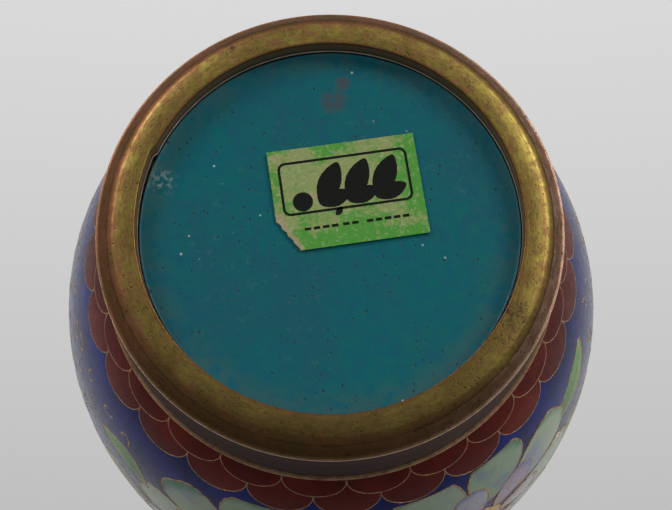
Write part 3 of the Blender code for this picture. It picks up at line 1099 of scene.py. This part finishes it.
FLOWERS = (
    # Angle round the body in degrees, length up the outline and radius in mm, turn, petals.
    (-73, 28.5, 22.0, 0.35, 9),
    (-122, 27.5, 22.5, 0.05, 9),
    (55, 38.0, 20.0, 0.1, 9),
    (120, 33.0, 21.0, 0.5, 9),
    (-4, 70.0, 14.0, 0.2, 8),
    (183, 68.0, 14.0, 0.6, 8),
)
LEAVES = (
    # Flower that it belongs to, direction round the flower in degrees, length and half width in mm.
    (0, -78, 14.0, 3.4), (0, -104, 12.0, 3.0), (0, -50, 12.0, 3.2),
    (1, 84, 13.0, 3.0), (1, 116, 14.0, 3.2), (1, 55, 12.0, 3.2),
    (2, -62, 13.0, 3.4), (2, 62, 12.0, 3.2), (2, 20, 12.0, 3.4), (2, -120, 12.0, 3.2),
    (3, -70, 12.0, 3.2), (3, 62, 12.0, 3.4), (3, 120, 11.0, 3.0), (3, -10, 12.0, 3.2),
    (4, -60, 11.0, 3.0), (4, 60, 11.0, 3.0), (4, 180, 11.0, 2.8),
    (5, -60, 11.0, 3.0), (5, 60, 11.0, 3.0), (5, 180, 11.0, 2.8),
)


LEAF_ROOT = 0.86


def make_belly(looks, wire_look):
    """Flowers above the scales, whose leaves grow from under their petals, and scrolls between them."""
    cells = Cells()
    taken = []
    for flower_index, direction_deg, size, width in LEAVES:
        angle, length, radius, _, _ = FLOWERS[flower_index]
        turn = math.radians(direction_deg)
        centre = Chart(math.radians(angle), length * MM, turn)
        root_angle, root_length = centre.spot((0.0, radius * LEAF_ROOT * MM))
        leaf(cells, root_angle, root_length, turn, size * MM, width * MM)
        taken.append((*centre.spot((0.0, (radius * LEAF_ROOT + size / 2) * MM)), size * 0.55 * MM))
    for index, (angle, length, radius, turn, petals) in enumerate(FLOWERS):
        place = (math.radians(angle), length * MM, radius * MM, turn, petals)
        flower(cells, *place, UPPER_TIP + 0.4 * MM, index % 2)
        taken.append((math.radians(angle), length * MM, radius * 1.04 * MM))
    scatter_curls(cells, 9.6 * MM, length_at(SHOULDER_LOW) - 2.2 * MM, taken)
    cells.make("belly", looks, wire_look)


def scatter_curls(cells, low, high, taken, pitch=4.9 * MM):
    """Fills the ground between the flowers with cloud scrolls on a jittered grid."""
    overhang, gap = 1.4 * MM, 1.3 * MM
    rows = int((high - low) / pitch)
    for row in range(rows + 1):
        length = low + (high - low) * row / rows
        radius = outline(place_at(length)).x
        count = round(math.tau * radius / pitch)
        for column in range(count):
            angle = math.tau * (column + 0.5 * (row % 2)) / count + random.uniform(-0.9, 0.9) * MM / radius
            at = length + random.uniform(-0.7, 0.7) * MM
            size = random.uniform(1.7, 2.2) * MM
            turn = random.uniform(0, math.tau)
            hand = random.choice((-1, 1))
            if at - size * 1.2 < low - overhang or at + size * 1.2 > high + overhang:
                continue
            near = (
                math.hypot(math.remainder(angle - a, math.tau) * radius, at - s) < reach + gap
                for a, s, reach in taken
            )
            if not any(near):
                curl(cells, angle, at, size, turn, hand)


def make_shoulder(looks, wire_look):
    """Ruyi heads: three rounded drops, one in the other, that hang from the upper border."""
    cells = Cells()
    low, high = length_at(SHOULDER_LOW) + 0.4 * MM, length_at(SHOULDER_HIGH) - 0.4 * MM
    count = 16
    half = math.pi * outline(SHOULDER_LOW).x / count * 0.8
    depth = high - low
    for angle in turns(count):
        for colour, share, lift in (("scale", 0.96, 1.0), ("petal", 0.62, 2.0), ("leaf", 0.3, 3.0)):
            shape = []
            for turn in turns(20):
                x = half * share * math.sin(turn) * (1.0 + 0.25 * math.cos(turn))
                shape.append((x, high - depth * share * (0.5 - 0.5 * math.cos(turn))))
            chart = Chart(angle, 0.0)
            cells.cell(chart, shape, middle_of(shape), colour, CELL_LIFT * lift, WIRE_WIDTH * 0.85)
    cells.make("shoulder", looks, wire_look)


def make_neck(looks, wire_look):
    """Four small flowers, each with a leaf over it and one under it, and scrolls between them."""
    cells = Cells()
    taken = []
    for index in range(4):
        angle = math.tau * (index + 0.5) / 4
        length = length_at(1.86) + (7.0 * MM if index % 2 else 0.0)
        leaf(cells, angle, length + 5.2 * MM, 0.15, 8.5 * MM, 2.2 * MM)
        leaf(cells, angle, length - 5.0 * MM, math.pi - 0.2, 7.5 * MM, 2.2 * MM)
        flower(cells, angle, length, 7.0 * MM, 0.3 * index, 7)
        taken.append((angle, length, 7.4 * MM))
        taken += [(angle, length + side * 9.5 * MM, 4.5 * MM) for side in (-1, 1)]
    low, high = length_at(SHOULDER_HIGH) + 2.6 * MM, length_at(LIP_WIRE) - 2.6 * MM
    scatter_curls(cells, low, high, taken, pitch=4.7 * MM)
    cells.make("neck", looks, wire_look)


def make_lip(looks, wire_look):
    """Two rows of scales that point down from the rim, as the foot's point up."""
    cells = Cells()
    low, high = length_at(LIP_WIRE) + 0.3 * MM, length_at(LIP_END) - 0.3 * MM
    middle = (low + high) / 2
    scale_row(cells, 18, 0.0, low, middle, high, "scale", CELL_LIFT)
    scale_row(cells, 18, 0.5, low, low + 0.15 * MM, middle + 0.9 * MM, "raised_scale", CELL_LIFT * 2)
    cells.make("lip", looks, wire_look)


def make_lining(teal):
    """Enamel of the inside, from the bottom of the foot up to the lip."""
    outer, inner = LINING_DEPTH, LINING_DEPTH + LINING
    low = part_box("lining_enamel")[0].z
    corner = FOOT_TOP.z
    radius = FOOT_WALL_INNER_RADIUS - 1.4 * MM
    count = 90
    places = [LIP_END * i / count for i in range(2, count + 1)]
    shifts = [0.0] * (len(places) - 1) + [-0.15 * MM]
    outside = [wall_point(u, outer, shift) for u, shift in zip(places, shifts)]
    inside = [wall_point(u, inner, shift) for u, shift in zip(places, shifts)]
    points = [
        (0.0, low),
        (radius, low),
        (radius, corner),
        *outside,
        *reversed(inside),
        (radius - LINING, corner),
        (radius - LINING, low + 2.2 * LINING),
        (radius - 2.0 * LINING, low + LINING),
        (0.0, low + LINING),
    ]
    turned("inside_lining", points, teal, node=("lining_enamel",), slot="teal_enamel")


def make_mouth_bead(brass):
    low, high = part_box("mouth_rim")
    thickness = (high.z - low.z) / 2
    centre = (high.x - thickness, (high.z + low.z) / 2)
    points = arc(centre, thickness, 0.0, math.tau, 28)[:-1]
    turned("mouth_bead", points, brass, node=("mouth_rim",), slot="foot_brass")


# ---------------------------------------------------------------- stage, lights and camera

CAMERA_TILT = math.radians(73.2)
CAMERA_PLACE = Vector((-0.0008, -0.0546, -0.1648))
CAMERA_LENS = 68.9


def make_camera():
    """Looks up at the foot from in front of it, with the vase's far side at the top of the picture."""
    data = bpy.data.cameras.new("camera")
    data.lens = CAMERA_LENS
    data.clip_start = 0.005
    data.clip_end = 20.0
    camera = bpy.data.objects.new("camera", data)
    ahead = Vector((0, math.cos(CAMERA_TILT), math.sin(CAMERA_TILT)))
    up = Vector((0, math.sin(CAMERA_TILT), -math.cos(CAMERA_TILT)))
    turn = Matrix((ahead.cross(up), up, -ahead)).transposed()
    camera.matrix_world = Matrix.Translation(CAMERA_PLACE) @ turn.to_4x4()
    bpy.context.scene.collection.objects.link(camera)
    bpy.context.scene.camera = camera


def area_light(name, place, size, power, colour=(1, 1, 1), shine=True):
    """A soft square light that faces the middle of the vase, with or without a reflection of its own."""
    data = bpy.data.lights.new(name, "AREA")
    data.shape = "SQUARE"
    data.size = size
    data.energy = power
    data.color = colour
    light = bpy.data.objects.new(name, data)
    place = Vector(place)
    light.location = place
    light.rotation_euler = (Vector((0, 0, 0.05)) - place).to_track_quat("-Z", "Y").to_euler()
    light.visible_camera = False
    light.visible_glossy = shine
    bpy.context.scene.collection.objects.link(light)


def make_stage():
    bm = bmesh.new()
    bmesh.ops.create_grid(bm, x_segments=1, y_segments=1, size=3.0)
    mesh = bpy.data.meshes.new("floor")
    bm.to_mesh(mesh)
    bm.free()
    mesh.materials.append(studio_floor())
    floor = bpy.data.objects.new("floor", mesh)
    floor.location.z = -0.3 * MM
    for ray in ("diffuse", "glossy", "transmission", "shadow"):
        setattr(floor, f"visible_{ray}", False)
    bpy.context.scene.collection.objects.link(floor)


def make_world():
    """A pale plain backdrop. Its light on the vase comes from beside the foot and from high above."""
    world = bpy.data.worlds.new("studio")
    world.use_nodes = True
    bpy.context.scene.world = world
    tree = world.node_tree
    nodes, links = tree.nodes, tree.links
    place = nodes.new("ShaderNodeTexCoord")
    parts = nodes.new("ShaderNodeSeparateXYZ")
    links.new(place.outputs["Generated"], parts.inputs[0])

    def change(part, low, high, start, end):
        made = nodes.new("ShaderNodeMapRange")
        for key, value in zip(("From Min", "From Max", "To Min", "To Max"), (low, high, start, end)):
            made.inputs[key].default_value = value
        links.new(parts.outputs[part], made.inputs["Value"])
        return made.outputs[0]

    def combine(operation, first, second):
        made = nodes.new("ShaderNodeMath")
        made.operation = operation
        links.new(first, made.inputs[0])
        links.new(second, made.inputs[1])
        return made.outputs[0]

    seen = nodes["Background"]
    seen.inputs["Color"].default_value = (1, 1, 1, 1)
    links.new(change("Y", 0.10, 0.47, 0.527, 0.70), seen.inputs["Strength"])
    below = change("Z", -1.0, -0.45, 0.04, 0.46)
    beside_foot = combine("MULTIPLY", below, change("Z", -0.20, 0.12, 1.0, 0.10))
    cast_light = combine("ADD", beside_foot, change("Z", 0.2, 0.9, 0.0, 0.55))
    cast = nodes.new("ShaderNodeBackground")
    links.new(combine("MULTIPLY", cast_light, change("Y", -0.9, 0.3, 0.45, 1.0)), cast.inputs["Strength"])
    ray = nodes.new("ShaderNodeLightPath")
    both = nodes.new("ShaderNodeMixShader")
    links.new(ray.outputs["Is Camera Ray"], both.inputs[0])
    links.new(cast.outputs[0], both.inputs[1])
    links.new(seen.outputs[0], both.inputs[2])
    links.new(both.outputs[0], nodes["World Output"].inputs["Surface"])


def make_lights():
    area_light("foot_light", (-0.55, 0.38, -0.62), 0.40, 3.7, (1.0, 0.97, 0.92))
    area_light("foot_fill", (0.55, 0.55, -0.55), 0.35, 3.0)
    area_light("foot_front", (0.05, -0.10, -1.0), 0.5, 2.6, shine=False)
    area_light("overhead", (-0.5, -0.7, 2.2), 1.2, 26.0, shine=False)
    area_light("left_fill", (-1.80, 0.25, 0.6), 1.2, 15.0, shine=False)
    area_light("right_fill", (1.80, 0.25, 0.6), 1.2, 12.0, shine=False)
    area_light("back_light", (0.50, 1.60, 1.20), 0.9, 21.0, shine=False)


# ---------------------------------------------------------------- putting it together


def enamel_looks():
    red = plain((0.125, 0.011, 0.006), (0.072, 0.006, 0.004))
    lower_red = plain((0.115, 0.011, 0.007), (0.064, 0.006, 0.004))
    mint = petal_colours((0.32, 0.37, 0.15), (0.35, 0.43, 0.31), (0.06, 0.21, 0.12), (0.22, 0.24, 0.40))
    lilac = petal_colours((0.42, 0.31, 0.09), (0.40, 0.42, 0.46), (0.16, 0.19, 0.42), (0.36, 0.24, 0.36))
    return {
        "cobalt": glaze("cobalt_enamel", plain((0.006, 0.014, 0.17), (0.004, 0.007, 0.075))),
        "turquoise": glaze("turquoise_enamel", plain((0.02, 0.24, 0.27), (0.03, 0.32, 0.30))),
        "scale": glaze("scale_enamel", red, 0.24),
        "raised_scale": glaze("lower_scale_enamel", lower_red, 0.24),
        "petal": glaze("petal_enamel", mint),
        "blush_petal": glaze("blush_petal_enamel", lilac),
        "heart": glaze("heart_enamel", plain((0.62, 0.40, 0.05), (0.52, 0.16, 0.03))),
        "leaf": glaze("leaf_enamel", shaded((0.012, 0.11, 0.03), (0.10, 0.30, 0.05), (0.20, 0.42, 0.08))),
    }


def hide_copper():
    """The copper pieces lie under the enamel as the CAD model has them."""
    hidden_metal = copper()
    for name in ("base_plate", "body_lower_shell", "body_upper_shell", "neck_shell"):
        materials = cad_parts[name].data.materials
        materials.clear()
        materials.append(hidden_metal)


def main():
    bpy.context.scene.view_settings.view_transform = "Standard"
    make_camera()
    make_world()
    make_lights()
    make_stage()
    make_foot_ring(foot_brass())
    make_base(counter_enamel("counter_enamel"))
    make_label(label_paper(), label_ink())
    looks, wire_look = enamel_looks(), gilt_wire()
    make_bands(looks, wire_look)
    for make_pattern in (make_scales, make_belly, make_shoulder, make_neck, make_lip):
        make_pattern(looks, wire_look)
    make_lining(counter_enamel("lining_enamel"))
    make_mouth_bead(mouth_brass())
    hide_copper()


main()
